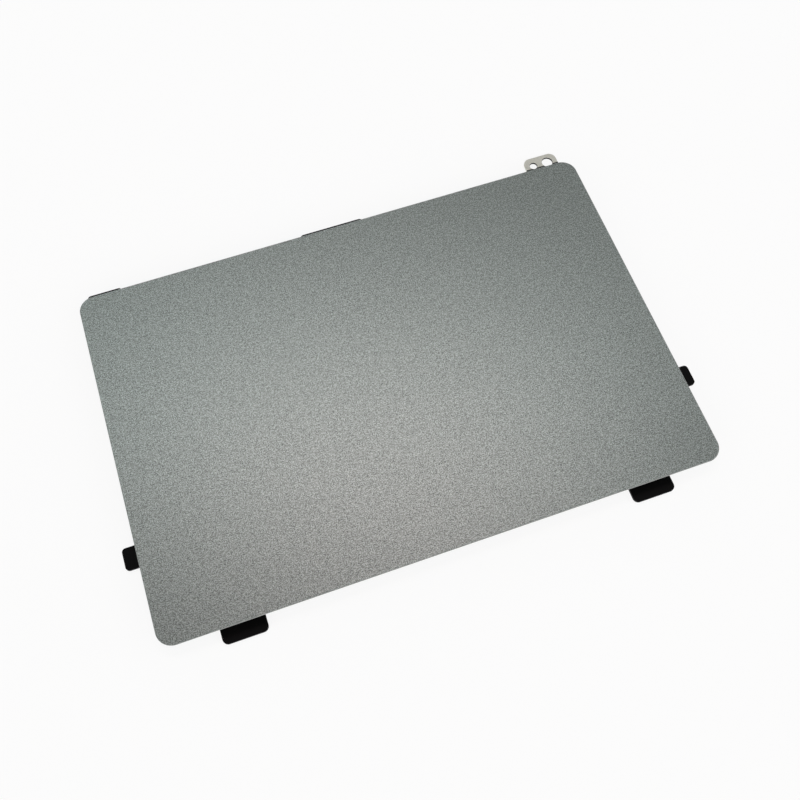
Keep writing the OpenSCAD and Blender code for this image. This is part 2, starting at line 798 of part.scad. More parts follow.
touch_film();
film_adhesive();
sensor_board();
controller_chip();
memory_chip();
regulator_chip();
surge_diodes();
capacitors();
resistors();
socket_housing();
socket_contacts();
socket_anchors();
socket_latch();
switch_base();
switch_dome();
switch_plunger();
switch_cover();
switch_terminals();
hinge_standoffs();
hinge_screws();
limiter_standoffs();
limiter_screws();
limiter_washers();
base_frame();
hinge_bracket();
bracket_rivets();
hinge_leaf_left();
hinge_leaf_right();
leaf_rivets();
anvil_button();
bump_pads();
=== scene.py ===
# %% [markdown]
# # Dressing a click-type trackpad
# The object is the touch module of a portable computer. A grey film lies on a sensor board, the board
# tilts on two spring leaves over a black stamped frame, and a push switch under the front edge clicks.
# The solids come in first, as a fixed frame that carries sizes, places and joints. This lesson gives
# every one of them its real edges, its solder and its finish, and never moves or resizes a solid.

# %% Load the frame
import json
import math
from contextlib import contextmanager

import bmesh
import bpy
from mathutils import Matrix, Vector


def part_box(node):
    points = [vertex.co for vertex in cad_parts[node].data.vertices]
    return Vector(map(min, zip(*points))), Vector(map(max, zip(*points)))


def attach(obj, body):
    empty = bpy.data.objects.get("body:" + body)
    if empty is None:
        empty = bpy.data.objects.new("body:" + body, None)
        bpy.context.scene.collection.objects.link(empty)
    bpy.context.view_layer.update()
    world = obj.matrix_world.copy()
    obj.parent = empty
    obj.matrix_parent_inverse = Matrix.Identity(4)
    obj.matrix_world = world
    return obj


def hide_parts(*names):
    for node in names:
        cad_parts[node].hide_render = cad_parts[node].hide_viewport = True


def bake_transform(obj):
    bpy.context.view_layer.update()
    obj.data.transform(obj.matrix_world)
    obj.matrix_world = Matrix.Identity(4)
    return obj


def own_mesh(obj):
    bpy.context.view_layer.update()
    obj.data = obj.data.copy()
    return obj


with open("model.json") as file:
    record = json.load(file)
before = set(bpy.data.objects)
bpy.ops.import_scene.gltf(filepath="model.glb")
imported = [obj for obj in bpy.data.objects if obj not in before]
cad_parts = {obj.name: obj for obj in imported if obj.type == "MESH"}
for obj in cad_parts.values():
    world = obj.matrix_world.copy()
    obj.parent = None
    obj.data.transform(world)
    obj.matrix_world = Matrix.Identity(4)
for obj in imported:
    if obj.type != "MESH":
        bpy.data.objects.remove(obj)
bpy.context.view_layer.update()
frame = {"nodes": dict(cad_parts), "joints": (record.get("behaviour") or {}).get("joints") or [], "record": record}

MM = 0.001
film_low, film_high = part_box("touch_film")
board_low, board_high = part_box("sensor_board")
film_middle = (film_low + film_high) / 2
board_face = board_low.z

# %% [markdown]
# ## Tools of the bench
# Modelling by hand means: select one thing, enter edit mode, pick some faces or edges, apply an
# operator. These few helpers do the selecting. Everything is deselected first, because an operator acts
# on all that is selected, and loading the frame leaves its solids selected.

# %% Helpers for selecting
WELD = 0.001 * MM


def alone(piece):
    """Makes a piece the only selected and the active object."""
    bpy.ops.object.select_all(action="DESELECT")
    piece.select_set(True)
    bpy.context.view_layer.objects.active = piece
    return piece


@contextmanager
def editing(piece):
    """Opens a piece in edit mode for the lines of a with block."""
    alone(piece)
    bpy.ops.object.mode_set(mode="EDIT")
    yield piece
    bpy.ops.object.mode_set(mode="OBJECT")


def pick(kind, rule):
    """In edit mode, selects only the vertices, edges or faces for which the rule is true."""
    bpy.ops.mesh.select_mode(type=kind)
    bpy.ops.mesh.select_all(action="DESELECT")
    mesh = bmesh.from_edit_mesh(bpy.context.object.data)
    for part in {"VERT": mesh.verts, "EDGE": mesh.edges, "FACE": mesh.faces}[kind]:
        if rule(part):
            part.select_set(True)
    bmesh.update_edit_mesh(bpy.context.object.data)


def edge_middle(edge):
    """The point halfway along an edge."""
    return (edge.verts[0].co + edge.verts[1].co) / 2


print("selecting helpers ready")

# %% [markdown]
# ## Where each solid lies
# Many nodes hold several solids: eight capacitors, four screws. A new part that belongs to each of them
# needs their places, so the node's triangles are welded and walked from neighbour to neighbour until
# each solid's corners are known.

# %% Measure the solids of a node


def solids_of(node):
    """The low and high corner of each separate solid of a node, from left to right and front to rear."""
    mesh = bmesh.new()
    mesh.from_mesh(frame["nodes"][node].data)
    bmesh.ops.remove_doubles(mesh, verts=mesh.verts, dist=WELD)
    unseen = set(mesh.verts)
    boxes = []
    while unseen:
        front = [unseen.pop()]
        points = []
        while front:
            vert = front.pop()
            points.append(vert.co.copy())
            for edge in vert.link_edges:
                other = edge.other_vert(vert)
                if other in unseen:
                    unseen.remove(other)
                    front.append(other)
        low = Vector([min(p[axis] for p in points) for axis in range(3)])
        high = Vector([max(p[axis] for p in points) for axis in range(3)])
        boxes.append((low, high))
    mesh.free()
    return sorted(boxes, key=lambda box: (round(box[0].x, 5), round(box[0].y, 5)))


def middle_of(box):
    """The centre of a box given by two corners."""
    return (box[0] + box[1]) / 2


print("capacitors:", len(solids_of("capacitors")), "resistors:", len(solids_of("resistors")))

# %% [markdown]
# ## Starting shapes and copies
# A small part starts as a block between two corners and is then bevelled, extruded or inset. What
# repeats is modelled once, lying on a bench with +Z away from the board, and copied to its places with
# a mesh of its own. Under the board everything hangs head down, so the copies are turned over.

# %% Helpers for shaping


def block(name, low, high):
    """A cube between two corners, with its place in its mesh."""
    bpy.ops.object.select_all(action="DESELECT")
    bpy.ops.mesh.primitive_cube_add(size=1, location=(Vector(low) + Vector(high)) / 2)
    piece = bpy.context.object
    piece.name = name
    piece.scale = Vector(high) - Vector(low)
    bpy.ops.object.transform_apply(location=True, rotation=True, scale=True)
    return piece


def round_edges(piece, width, segments=2, rule=None):
    """Bevels all the edges of a piece, or those that the rule picks."""
    with editing(piece):
        pick("EDGE", rule or (lambda edge: True))
        bpy.ops.mesh.bevel(offset=width, segments=segments, affect="EDGES", clamp_overlap=True)
    return piece


def push_edge(piece, rule, move):
    """Moves the edges that the rule picks, which turns a block into a wedge."""
    with editing(piece):
        pick("EDGE", rule)
        bpy.ops.transform.translate(value=move)
    return piece


def smooth(piece, angle=40):
    """Shades round faces smooth, and keeps flat faces flat."""
    alone(piece)
    bpy.ops.object.shade_smooth_by_angle(angle=math.radians(angle))
    piece.modifiers.new("flat faces", "WEIGHTED_NORMAL").keep_sharp = True
    bpy.ops.object.modifier_apply(modifier="flat faces")
    return piece


print("shaping helpers ready")

# %% Helpers for copies


def join(name, pieces):
    """Joins pieces into the first of them."""
    bpy.ops.object.select_all(action="DESELECT")
    for piece in pieces:
        piece.select_set(True)
    bpy.context.view_layer.objects.active = pieces[0]
    bpy.ops.object.join()
    pieces[0].name = name
    return pieces[0]


def repeat(name, master, moves):
    """Copies a master to each place, each copy with its own mesh, and joins the copies."""
    copies = []
    for move in moves:
        mesh = master.data.copy()
        mesh.transform(move)
        copy = bpy.data.objects.new(name, mesh)
        bpy.context.scene.collection.objects.link(copy)
        copies.append(copy)
    bpy.data.objects.remove(master)
    return join(name, copies)


def under_board(x, y, turn=0.0):
    """The move that hangs a bench-modelled part head down on the board, turned about its own axis."""
    place = Matrix.Translation((x, y, board_face))
    return place @ Matrix.Rotation(math.pi, 4, "X") @ Matrix.Rotation(turn, 4, "Z")


print("copying helpers ready")

# %% [markdown]
# ## Writing finishes as expressions
# A finish is a graph of shader nodes. Wrapping a socket in a small class lets the graph be written as
# arithmetic: `1 - mask` adds a Math node by itself. Numbers alone are worked out in Python, colours go
# through Mix nodes, and one method makes every other kind of node.

# %% The wire


class Wire:
    """An output of a shader node. Arithmetic on it adds Math nodes."""

    def __init__(self, finish, socket):
        self.finish = finish
        self.socket = socket

    def maths(self, operation, *others, **settings):
        """A Math node whose first value is this wire."""
        inputs = dict(enumerate((self, *others)))
        return self.finish.node("ShaderNodeMath", {"operation": operation, **settings}, inputs)

    def __add__(self, other):
        return self.maths("ADD", other)

    __radd__ = __add__

    def __mul__(self, other):
        return self.maths("MULTIPLY", other)

    __rmul__ = __mul__

    def __sub__(self, other):
        return self.maths("SUBTRACT", other)

    def __rsub__(self, other):
        return (self * -1).maths("ADD", other)

    def ramp(self, start, end):
        """0 below start, 1 above end, smooth between."""
        limits = {"Value": self, "From Min": start, "From Max": end}
        return self.finish.node("ShaderNodeMapRange", {"interpolation_type": "SMOOTHSTEP"}, limits)

    def stripes(self, pitch, share):
        """1 on stripes across this length, a pitch apart, each a share of the pitch wide."""
        return self.maths("DIVIDE", pitch).maths("FRACT").maths("LESS_THAN", share)


print("wire ready")

# %% [markdown]
# ## A finish and its nodes
# One class holds the node graph of a material. Its short calls add what the finishes below share: a place
# on the piece, one coordinate of it, cloudy noise, a mix of two colours, a bump and the surface that ends
# the graph. The light of the room is a graph too, so the same class serves it.

# %% The finish


class Finish:
    """A material, or a world, whose nodes are added by short calls."""

    def __init__(self, name, shelf="materials"):
        self.data = getattr(bpy.data, shelf).new(name)
        self.data.use_nodes = True
        self.tree = self.data.node_tree
        self.tree.nodes.clear()

    def node(self, kind, settings=None, inputs=None, output=0):
        """Adds any node: its settings first, then the values or wires of its sockets."""
        made = self.tree.nodes.new(kind)
        for key, value in (settings or {}).items():
            setattr(made, key, value)
        for key, value in (inputs or {}).items():
            if isinstance(value, Wire):
                self.tree.links.new(value.socket, made.inputs[key])
            else:
                made.inputs[key].default_value = value
        return Wire(self, made.outputs[output]) if made.outputs else None

    def place(self, stretch=(1, 1, 1), turn=(0, 0, 0)):
        """Object coordinates in metres, stretched and turned by a Mapping node."""
        where = self.node("ShaderNodeTexCoord", output="Object")
        return self.node("ShaderNodeMapping", None, {"Vector": where, "Scale": stretch, "Rotation": turn})

    def axis(self, name, where=None):
        """One coordinate of a place."""
        split = {"Vector": where or self.node("ShaderNodeTexCoord", output="Object")}
        return self.node("ShaderNodeSeparateXYZ", None, split, output=name)

    def noise(self, size, detail=2.0, rough=0.5, stretch=(1, 1, 1), turn=(0, 0, 0)):
        """Cloudy noise whose lumps are about as wide as size."""
        lumps = {"Scale": 1 / size, "Detail": detail, "Roughness": rough}
        return self.node("ShaderNodeTexNoise", None, {"Vector": self.place(stretch, turn), **lumps})

    def mix(self, factor, first, second):
        """A colour between two colours."""
        inputs = {0: factor}
        for key, colour in ((6, first), (7, second)):
            inputs[key] = colour if isinstance(colour, Wire) else (*colour, 1)
        return self.node("ShaderNodeMix", {"data_type": "RGBA"}, inputs, output=2)

    def bump(self, height, depth, strength=1.0):
        """A normal that follows a height between 0 and 1, in metres of depth."""
        return self.node("ShaderNodeBump", None, {"Height": height, "Distance": depth, "Strength": strength})

    def surface(self, inputs):
        """Ends the graph in one Principled shader."""
        colours = {key: (*value, 1) for key, value in inputs.items() if isinstance(value, tuple)}
        shader = self.node("ShaderNodeBsdfPrincipled", None, {**inputs, **colours})
        self.node("ShaderNodeOutputMaterial", None, {"Surface": shader})
        return self.data


finishes = {}
print("finish helpers ready")

# %% [markdown]
# ## The film's paint
# The touch film is plastic painted grey with a fine metallic pigment: up close it is a salt of lighter
# and darker specks, one or two tenths of a millimetre wide. Two noises of different size make them.
# They drive the colour, the roughness and a very shallow bump, so the specks glint apart. The cut edge
# shows the pale plastic under the paint, and a mask on the height finds it.

# %% Film finish
RIM = 0.15 * MM
SPECK, CLUSTER = 0.2 * MM, 0.5 * MM
PAINT_DARK, PAINT_LIGHT = (0.1080, 0.1206, 0.1150), (0.4175, 0.4660, 0.4445)
FILM_PLASTIC = (0.30, 0.31, 0.30)


def film_finish():
    film = Finish("film_grey")
    specks = film.noise(SPECK, detail=1.0).ramp(0.32, 0.68)
    clusters = film.noise(CLUSTER, detail=2.0).ramp(0.3, 0.7)
    grain = specks * 0.75 + clusters * 0.25
    paint = film.mix(grain, PAINT_DARK, PAINT_LIGHT)
    top = film.axis("Z").ramp(film_high.z - 0.3 * RIM, film_high.z - 0.1 * RIM)
    return film.surface({
        "Base Color": film.mix(top, FILM_PLASTIC, paint),
        "Metallic": top * 0.9,
        "Roughness": 0.46 - grain * 0.1,
        "Normal": film.bump(grain, 0.004 * MM, 0.6),
    })


finishes["film_grey"] = film_finish()
print("finish:", finishes["film_grey"].name)

# %% [markdown]
# ## The board's laminate and lacquer
# A sensor board is glass laminate with copper on both faces under green lacquer. Where copper lies below,
# the lacquer looks lighter. The ground copper is a hatch of crossed lines at 45 degrees, left out round
# the components. On the cut edge the brown-yellow laminate shows in thin plies.

# %% Board finish
HATCH_PITCH = 1.5 * MM
HATCH_SHARE = 0.32
VIAS_LEFT, VIAS_RIGHT = -41 * MM, 42.4 * MM
SPOTS_LEFT = -36 * MM


def board_finish():
    board = Finish("board_green")
    x, y, z = (board.axis(name) for name in "XYZ")
    rising, falling = ((x + side * y).stripes(HATCH_PITCH, HATCH_SHARE) for side in (1, -1))
    hatch = rising.maths("MAXIMUM", falling)
    chip_low, chip_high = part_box("controller_chip")
    socket_low, socket_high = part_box("socket_housing")
    quiet = (
        (socket_low.x - 2 * MM, chip_high.x + 3 * MM, chip_low.y - 4 * MM, socket_high.y + 2 * MM),
        (VIAS_LEFT - 1 * MM, chip_high.x, chip_low.y - 14 * MM, chip_low.y - 3 * MM),
        (chip_high.x, VIAS_RIGHT + 1.1 * MM, chip_low.y - 6 * MM, chip_high.y + 6 * MM),
        (SPOTS_LEFT - 2 * MM, socket_low.x, chip_low.y - 3 * MM, chip_high.y - 0.5 * MM),
    )
    for left, right, front, rear in quiet:
        beyond_x = (x - (left + right) / 2).maths("ABSOLUTE").maths("GREATER_THAN", (right - left) / 2)
        beyond_y = (y - (front + rear) / 2).maths("ABSOLUTE").maths("GREATER_THAN", (rear - front) / 2)
        hatch = hatch * beyond_x.maths("MAXIMUM", beyond_y)
    tone = board.noise(6 * MM, detail=3.0)
    lacquer = board.mix(hatch, (0.010, 0.058, 0.034), (0.022, 0.112, 0.062))
    lacquer = board.mix(tone.ramp(0.35, 0.7) * 0.35, lacquer, (0.008, 0.05, 0.036))
    plies = z.stripes(0.16 * MM, 0.3)
    fibres = board.noise(0.12 * MM, stretch=(1, 1, 6))
    cut = board.mix(plies * 0.6 + fibres * 0.25, (0.31, 0.27, 0.14), (0.15, 0.12, 0.06))
    skin = 0.04 * MM
    inner = z.ramp(board_low.z + skin, board_low.z + 1.5 * skin)
    inner = inner - z.ramp(board_high.z - 1.5 * skin, board_high.z - skin)
    return board.surface({
        "Base Color": board.mix(inner, lacquer, cut),
        "Roughness": inner * 0.35 + board.noise(0.5 * MM) * 0.16 + 0.2,
        "Normal": board.bump(hatch * 0.6 + board.noise(0.25 * MM) * 0.4, 0.012 * MM, 0.5),
    })


finishes["board_green"] = board_finish()
print("finish:", finishes["board_green"].name)

# %% [markdown]
# ## Moulded parts
# Chips, sockets, latches, washers and pads are moulded. A mould leaves a fine spark-eroded grain, and the
# plastic flows in faint clouds. One recipe with the colour, the gloss and the grain as arguments serves
# them all, and each keeps its own numbers.

# %% Moulded finishes


def moulded(name, colour, rough, grain_size, depth, clouds=0.25, specular=0.5):
    """Plastic or rubber with a fine grain and faint flow clouds."""
    plastic = Finish(name)
    grain = plastic.noise(grain_size, detail=3.0, rough=0.6)
    flow = plastic.noise(14 * grain_size, detail=2.0, stretch=(1, 2.5, 1)).ramp(0.35, 0.7)
    shade = tuple(value * (1 - clouds) for value in colour)
    finishes[name] = plastic.surface({
        "Base Color": plastic.mix(flow * 0.7 + grain * 0.3, colour, shade),
        "Roughness": grain * 0.22 + (rough - 0.11),
        "Specular IOR Level": specular,
        "Normal": plastic.bump(grain, depth, 0.7),
    })


moulded("chip_black", (0.022, 0.022, 0.024), 0.58, 0.05 * MM, 0.004 * MM, 0.4)
moulded("resistor_black", (0.020, 0.020, 0.025), 0.24, 0.09 * MM, 0.003 * MM, 0.3)
moulded("ceramic_tan", (0.42, 0.285, 0.155), 0.5, 0.06 * MM, 0.003 * MM)
moulded("alumina_white", (0.74, 0.73, 0.69), 0.6, 0.05 * MM, 0.004 * MM, 0.12)
moulded("socket_ivory", (0.70, 0.645, 0.52), 0.48, 0.07 * MM, 0.004 * MM, 0.15)
moulded("latch_brown", (0.060, 0.040, 0.031), 0.45, 0.07 * MM, 0.004 * MM, 0.35)
moulded("switch_black", (0.026, 0.026, 0.028), 0.5, 0.06 * MM, 0.004 * MM, 0.35)
moulded("plunger_white", (0.77, 0.735, 0.66), 0.42, 0.06 * MM, 0.003 * MM, 0.12)
moulded("pad_rubber", (0.028, 0.028, 0.030), 0.8, 0.10 * MM, 0.012 * MM, 0.35, 0.3)
moulded("adhesive_dark", (0.050, 0.055, 0.060), 0.35, 0.20 * MM, 0.006 * MM, 0.3)
moulded("lacquered_copper", (0.034, 0.165, 0.092), 0.32, 0.20 * MM, 0.004 * MM, 0.3)
moulded("marking_ink", (0.72, 0.73, 0.68), 0.62, 0.05 * MM, 0.003 * MM, 0.2)
print("moulded finishes:", sorted(finishes))

# %% [markdown]
# ## Bare metals
# Plated pins, brass posts, rolled spring leaves and the stamped steel bracket all reflect their
# surroundings. What tells them apart is colour, roughness and the direction of the fine lines that
# rolling, turning or blasting leaves. Stretching the noise along one axis draws rolling lines.

# %% Metal finishes


def metal(name, colour, rough, grain_size, depth, stretch=(1, 1, 1), stain=0.18):
    """Bare or plated metal with fine working marks and a slight tarnish."""
    bare = Finish(name)
    marks = bare.noise(grain_size, detail=4.0, rough=0.65, stretch=stretch)
    tarnish = bare.noise(18 * grain_size, detail=3.0).ramp(0.4, 0.75)
    dull = tuple(value * (1 - stain) for value in colour)
    finishes[name] = bare.surface({
        "Base Color": bare.mix(tarnish * 0.7 + marks * 0.3, colour, dull),
        "Metallic": 1.0,
        "Roughness": marks * 0.24 + tarnish * 0.06 + (rough - 0.14),
        "Normal": bare.bump(marks, depth, 0.6),
    })


ALONG_Y = (1, 0.06, 1)
ALONG_X = (0.06, 1, 1)
metal("leaf_steel", (0.42, 0.435, 0.45), 0.3, 0.07 * MM, 0.002 * MM, ALONG_Y)
metal("dome_steel", (0.62, 0.61, 0.58), 0.24, 0.06 * MM, 0.001 * MM)
metal("screw_steel", (0.56, 0.57, 0.58), 0.34, 0.08 * MM, 0.003 * MM)
metal("tin_plate", (0.66, 0.67, 0.68), 0.32, 0.10 * MM, 0.002 * MM, ALONG_X)
metal("solder_grey", (0.63, 0.64, 0.65), 0.28, 0.16 * MM, 0.008 * MM)
metal("contact_gold", (0.80, 0.57, 0.22), 0.28, 0.08 * MM, 0.002 * MM, ALONG_Y, 0.12)
metal("standoff_brass", (0.67, 0.48, 0.20), 0.32, 0.07 * MM, 0.003 * MM, (1, 1, 6), 0.3)
print("finishes so far:", len(finishes))

# %% [markdown]
# ## The bracket's ear
# The bracket is blasted steel, dull and even, with a warm grey tone. The walls of its holes are rougher,
# and their colour is darkened as painted shade, where the walls lie in shade. Along the root of the ear, on
# its upper face, a black band is painted shadow, where the pad shades the ear. Masks on the distance from
# each hole's axis and on the depth place both.

# %% Bracket finish


def bracket_finish():
    steel = Finish("bracket_steel")
    blast = steel.noise(0.12 * MM, detail=3.0, rough=0.6)
    smear = steel.noise(1.6 * MM, detail=3.0).ramp(0.35, 0.75)
    x, y = steel.axis("X"), steel.axis("Y")
    # painted shade: the hole walls are darkened as if in shade, and they are also made rougher
    torn_and_shaded_walls = 0
    for mount in frame["record"]["mounts"]:
        if mount["kind"] == "bore":
            across, along = x - mount["pos_m"][0], y - mount["pos_m"][1]
            radius = mount["dims"]["r_mm"] * MM
            distance = (across * across + along * along).maths("SQRT")
            torn_and_shaded_walls = torn_and_shaded_walls + (1 - distance.ramp(radius + 0.02 * MM, radius + 0.045 * MM))
    sheet_low, sheet_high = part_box("hinge_bracket")
    upper = steel.axis("Z").ramp(sheet_low.z + 0.1 * MM, sheet_high.z - 0.06 * MM)
    # painted shadow: a black band on the ear's upper face along its root, where the pad shades the ear
    painted_root_shadow = upper - upper * y.ramp(film_high.y + 1.78 * MM, film_high.y + 1.88 * MM)
    steel_tone = steel.mix(smear * 0.6 + blast * 0.4, (0.755, 0.757, 0.68), (0.645, 0.647, 0.575))
    # painted shade: the steel darkens in the walls of the holes
    steel_tone = steel.mix(torn_and_shaded_walls, steel_tone, (0.10, 0.10, 0.10))
    return steel.surface({
        # painted shadow: the steel turns black and not metallic in the band at the ear's root
        "Base Color": steel.mix(painted_root_shadow, steel_tone, (0.003, 0.003, 0.003)),
        "Metallic": 0.7 - painted_root_shadow * 0.7,
        "Roughness": blast * 0.2 + torn_and_shaded_walls * 0.3 + 0.32,
        "Normal": steel.bump(blast, 0.006 * MM, 0.6),
    })


finishes["bracket_steel"] = bracket_finish()
print("finish:", finishes["bracket_steel"].name)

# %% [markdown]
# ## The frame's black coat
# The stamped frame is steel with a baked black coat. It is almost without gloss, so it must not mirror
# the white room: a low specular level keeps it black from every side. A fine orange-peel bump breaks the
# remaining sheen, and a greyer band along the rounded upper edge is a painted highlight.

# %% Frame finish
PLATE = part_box("hinge_bracket")[0].z


def coat_finish():
    coat = Finish("frame_black")
    peel = coat.noise(0.16 * MM, detail=2.0)
    dust = coat.noise(2.4 * MM, detail=4.0, rough=0.7).ramp(0.45, 0.8)
    height = coat.axis("Z")
    # painted highlight: a band along the rounded upper edge of the frame
    edge = height.ramp(PLATE - 0.07 * MM, PLATE - 0.04 * MM) - height.ramp(PLATE - 0.02 * MM, PLATE)
    black = coat.mix(dust * 0.5, (0.0010, 0.0010, 0.0012), (0.0024, 0.0024, 0.0026))
    return coat.surface({
        # painted highlight: the band along the rounded upper edge is greyer than the black coat
        "Base Color": coat.mix(edge * 0.8, black, (0.006, 0.006, 0.0064)),
        "Roughness": peel * 0.2 + 0.45,
        "Specular IOR Level": 0.09,
        "Normal": coat.bump(peel, 0.006 * MM, 0.6),
    })


finishes["frame_black"] = coat_finish()
print("finish:", finishes["frame_black"].name)

# %% [markdown]
# ## Putting a piece in the assembly
# Each finished piece gets its finish and the body that it moves with, and the solid that it stands for is
# hidden. Many real parts are stamped, turned or moulded in just the shape of their solid, with the
# sharp edges broken. For these a copy of the solid is welded, its triangles are joined to flat faces, and
# a bevel rounds every edge that is sharper than 30 degrees.

# %% Dress and soften


def dress(piece, body, slot, *stands_for, finish=None):
    """Gives a piece the named finish, or else the slot's finish, and its body, and hides the nodes that it stands
    for.
    """
    piece.data.materials.clear()
    piece.data.materials.append(finishes[finish or slot])
    if body:
        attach(piece, body)
    if stands_for:
        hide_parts(*stands_for)
    print(f"{piece.name}: {len(piece.data.polygons)} faces, moves with {body}")
    return piece


def softened(name, node, width, segments=2):
    """A welded copy of a node's solids with broken edges."""
    mesh = frame["nodes"][node].data.copy()
    mesh.materials.clear()
    piece = bpy.data.objects.new(name, mesh)
    bpy.context.scene.collection.objects.link(piece)
    alone(piece)
    bpy.ops.mesh.customdata_custom_splitnormals_clear()
    with editing(piece):
        bpy.ops.mesh.select_all(action="SELECT")
        bpy.ops.mesh.remove_doubles(threshold=WELD)
        bpy.ops.mesh.dissolve_limited(angle_limit=math.radians(1))
    broken = piece.modifiers.new("broken edges", "BEVEL")
    broken.width = width
    broken.segments = segments
    broken.limit_method = "ANGLE"
    broken.angle_limit = math.radians(30)
    bpy.ops.object.modifier_apply(modifier="broken edges")
    return smooth(piece)


def dress_solids(*rows):
    """Softens and dresses nodes. Each row has the node, its body, its slot and the edge in millimetres."""
    for node, body, slot, edge in rows:
        dress(softened(node.replace("_", "-"), node, edge * MM), body, slot, node)


print("ready to dress the solids")

# %% [markdown]
# ## The touch film
# The film is die-cut from a painted sheet and laid on the board. It starts as a plane of the film's
# size. A vertex bevel rounds its corners, an extrusion gives the thickness, and the upper edge is rolled
# over by the die. The corner radius is measured on the solid: it is where the straight front edge ends.

# %% Touch film


def film_sheet():
    corners = [v.co.x for v in frame["nodes"]["touch_film"].data.vertices if v.co.y < film_low.y + WELD]
    radius = film_high.x - max(corners)
    bpy.ops.object.select_all(action="DESELECT")
    bpy.ops.mesh.primitive_plane_add(size=1, location=(film_middle.x, film_middle.y, film_low.z))
    sheet = bpy.context.object
    sheet.name = "touch-film"
    sheet.scale = (film_high.x - film_low.x, film_high.y - film_low.y, 1)
    bpy.ops.object.transform_apply(location=True, rotation=True, scale=True)
    with editing(sheet):
        bpy.ops.mesh.select_all(action="SELECT")
        bpy.ops.mesh.bevel(offset=radius, segments=20, profile=0.5, affect="VERTICES")
        bpy.ops.mesh.select_all(action="SELECT")
        thickness = (0, 0, film_high.z - film_low.z)
        bpy.ops.mesh.extrude_region_move(TRANSFORM_OT_translate={"value": thickness})
        bpy.ops.mesh.select_all(action="SELECT")
        bpy.ops.mesh.normals_make_consistent(inside=False)
    round_edges(sheet, RIM, 4, lambda edge: min(v.co.z for v in edge.verts) > film_high.z - WELD)
    round_edges(sheet, 0.03 * MM, 2, lambda edge: max(v.co.z for v in edge.verts) < film_low.z + WELD)
    print("corner radius in mm:", round(radius / MM, 2))
    return smooth(sheet)


dress(film_sheet(), "pad", "film_grey", "touch_film")

# %% [markdown]
# ## Adhesive and board
# The adhesive layer and the bare board are plain cut sheets, so their solids stay as they are and only
# take a finish. The board's copper, lacquer and layers are all in its finish.

# %% Adhesive and board
for node, finish in (("film_adhesive", "adhesive_dark"), ("sensor_board", "board_green")):
    frame["nodes"][node].material_slots[0].material = finishes[finish]
    print(node, "keeps its solid and takes", finish)

# %% [markdown]
# ## Frame, bracket and leaves
# The frame and the bracket are stamped from sheet. A punch rolls the entry edge and the coat rounds it
# further. The spring leaves are etched from thin strip. A leaf is riveted to the frame behind the hinge
# line and screwed to the pad in front of it, so the real leaf bends as the pad tilts. Here each leaf is a
# softened copy of its solid: it is not bent, and it moves with no body.

# %% Stamped parts
dress_solids(
    ("base_frame", "frame", "frame_black", 0.08),
    ("hinge_bracket", "frame", "bracket_steel", 0.05),
)
hinge = next(joint for joint in frame["joints"] if joint["name"] == "pad_tilt")["pos_m"]
FLEX = 2.5 * MM
for side in ("left", "right"):
    leaf = softened(f"hinge-leaf-{side}", f"hinge_leaf_{side}", 0.03 * MM)
    hinge[1] + FLEX
    hinge[1] - FLEX
    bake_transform(leaf)
    dress(leaf, None, "leaf_steel", f"hinge_leaf_{side}")

# %% [markdown]
# ## Fixings
# Rivets, screws, posts and washers are turned, headed or punched. Their solids already carry heads, cross
# slots and bores, so only their sharp edges are left to be broken.

# %% Rivets, screws and posts
dress_solids(
    ("bracket_rivets", "frame", "screw_steel", 0.05),
    ("leaf_rivets", "frame", "screw_steel", 0.05),
    ("anvil_button", "frame", "screw_steel", 0.05),
    ("hinge_standoffs", "pad", "standoff_brass", 0.05),
    ("hinge_screws", "pad", "screw_steel", 0.04),
    ("limiter_standoffs", "pad", "standoff_brass", 0.04),
    ("limiter_screws", "pad", "screw_steel", 0.04),
    ("limiter_washers", "pad", "pad_rubber", 0.03),
)

# %% [markdown]
# ## Bump pads
# Two rubber pads under the front corners stop the board softly. They are die-cut from sheet rubber with
# rounded corners and a raised middle that meets the board first. Each starts as a block, the upright
# corners are bevelled, and the top face is inset and lifted.

# %% Bump pads


def bump_pad(box):
    low, high = box
    step = 0.2 * MM
    pad = block("bump-pad", low, (high.x, high.y, high.z - step))
    round_edges(pad, 0.8 * MM, 5, lambda edge: abs(edge.verts[0].co.z - edge.verts[1].co.z) > step)
    with editing(pad):
        pick("FACE", lambda face: face.normal.z > 0.9)
        bpy.ops.mesh.inset(thickness=0.7 * MM)
        bpy.ops.mesh.extrude_region_move(TRANSFORM_OT_translate={"value": (0, 0, step)})
    return round_edges(pad, 0.06 * MM, 2, lambda edge: edge.calc_face_angle(0) > 0.6)


pads = [bump_pad(box) for box in solids_of("bump_pads")]
dress(smooth(join("bump-pads", pads)), "frame", "pad_rubber", "bump_pads")

# %% [markdown]
# ## The click switch
# The switch is a moulded tray with a snap dome of spring steel, a plunger on the dome and a folded
# sheet cover over both. When the plunger goes in, the dome flattens towards the tray's floor. The share
# of its height that it keeps at full travel is worked out and printed, and the dome is not squashed.

# %% Click switch
dress_solids(
    ("switch_base", "pad", "switch_black", 0.06),
    ("switch_cover", "pad", "tin_plate", 0.03),
    ("switch_terminals", "pad", "tin_plate", 0.03),
    ("switch_plunger", "plunger", "plunger_white", 0.05),
)
dome = dress(softened("switch-dome", "switch_dome", 0.01 * MM), "pad", "dome_steel", "switch_dome")
dome_low, dome_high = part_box("switch_dome")
travel = next(joint for joint in frame["joints"] if joint["name"] == "switch_press")["range_m"][1]
kept = 1 - travel / (dome_high.z - dome_low.z)
rim = (0, middle_of((dome_low, dome_high)).y, dome_high.z)
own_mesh(dome)
print("dome keeps", round(kept, 2), "of its height at full travel")

# %% [markdown]
# ## The cable socket
# The socket takes a flat cable from the rear. A moulded housing holds eight gold plated contacts, two tin
# plated anchors hold it on the board, and a flip latch clamps the cable.

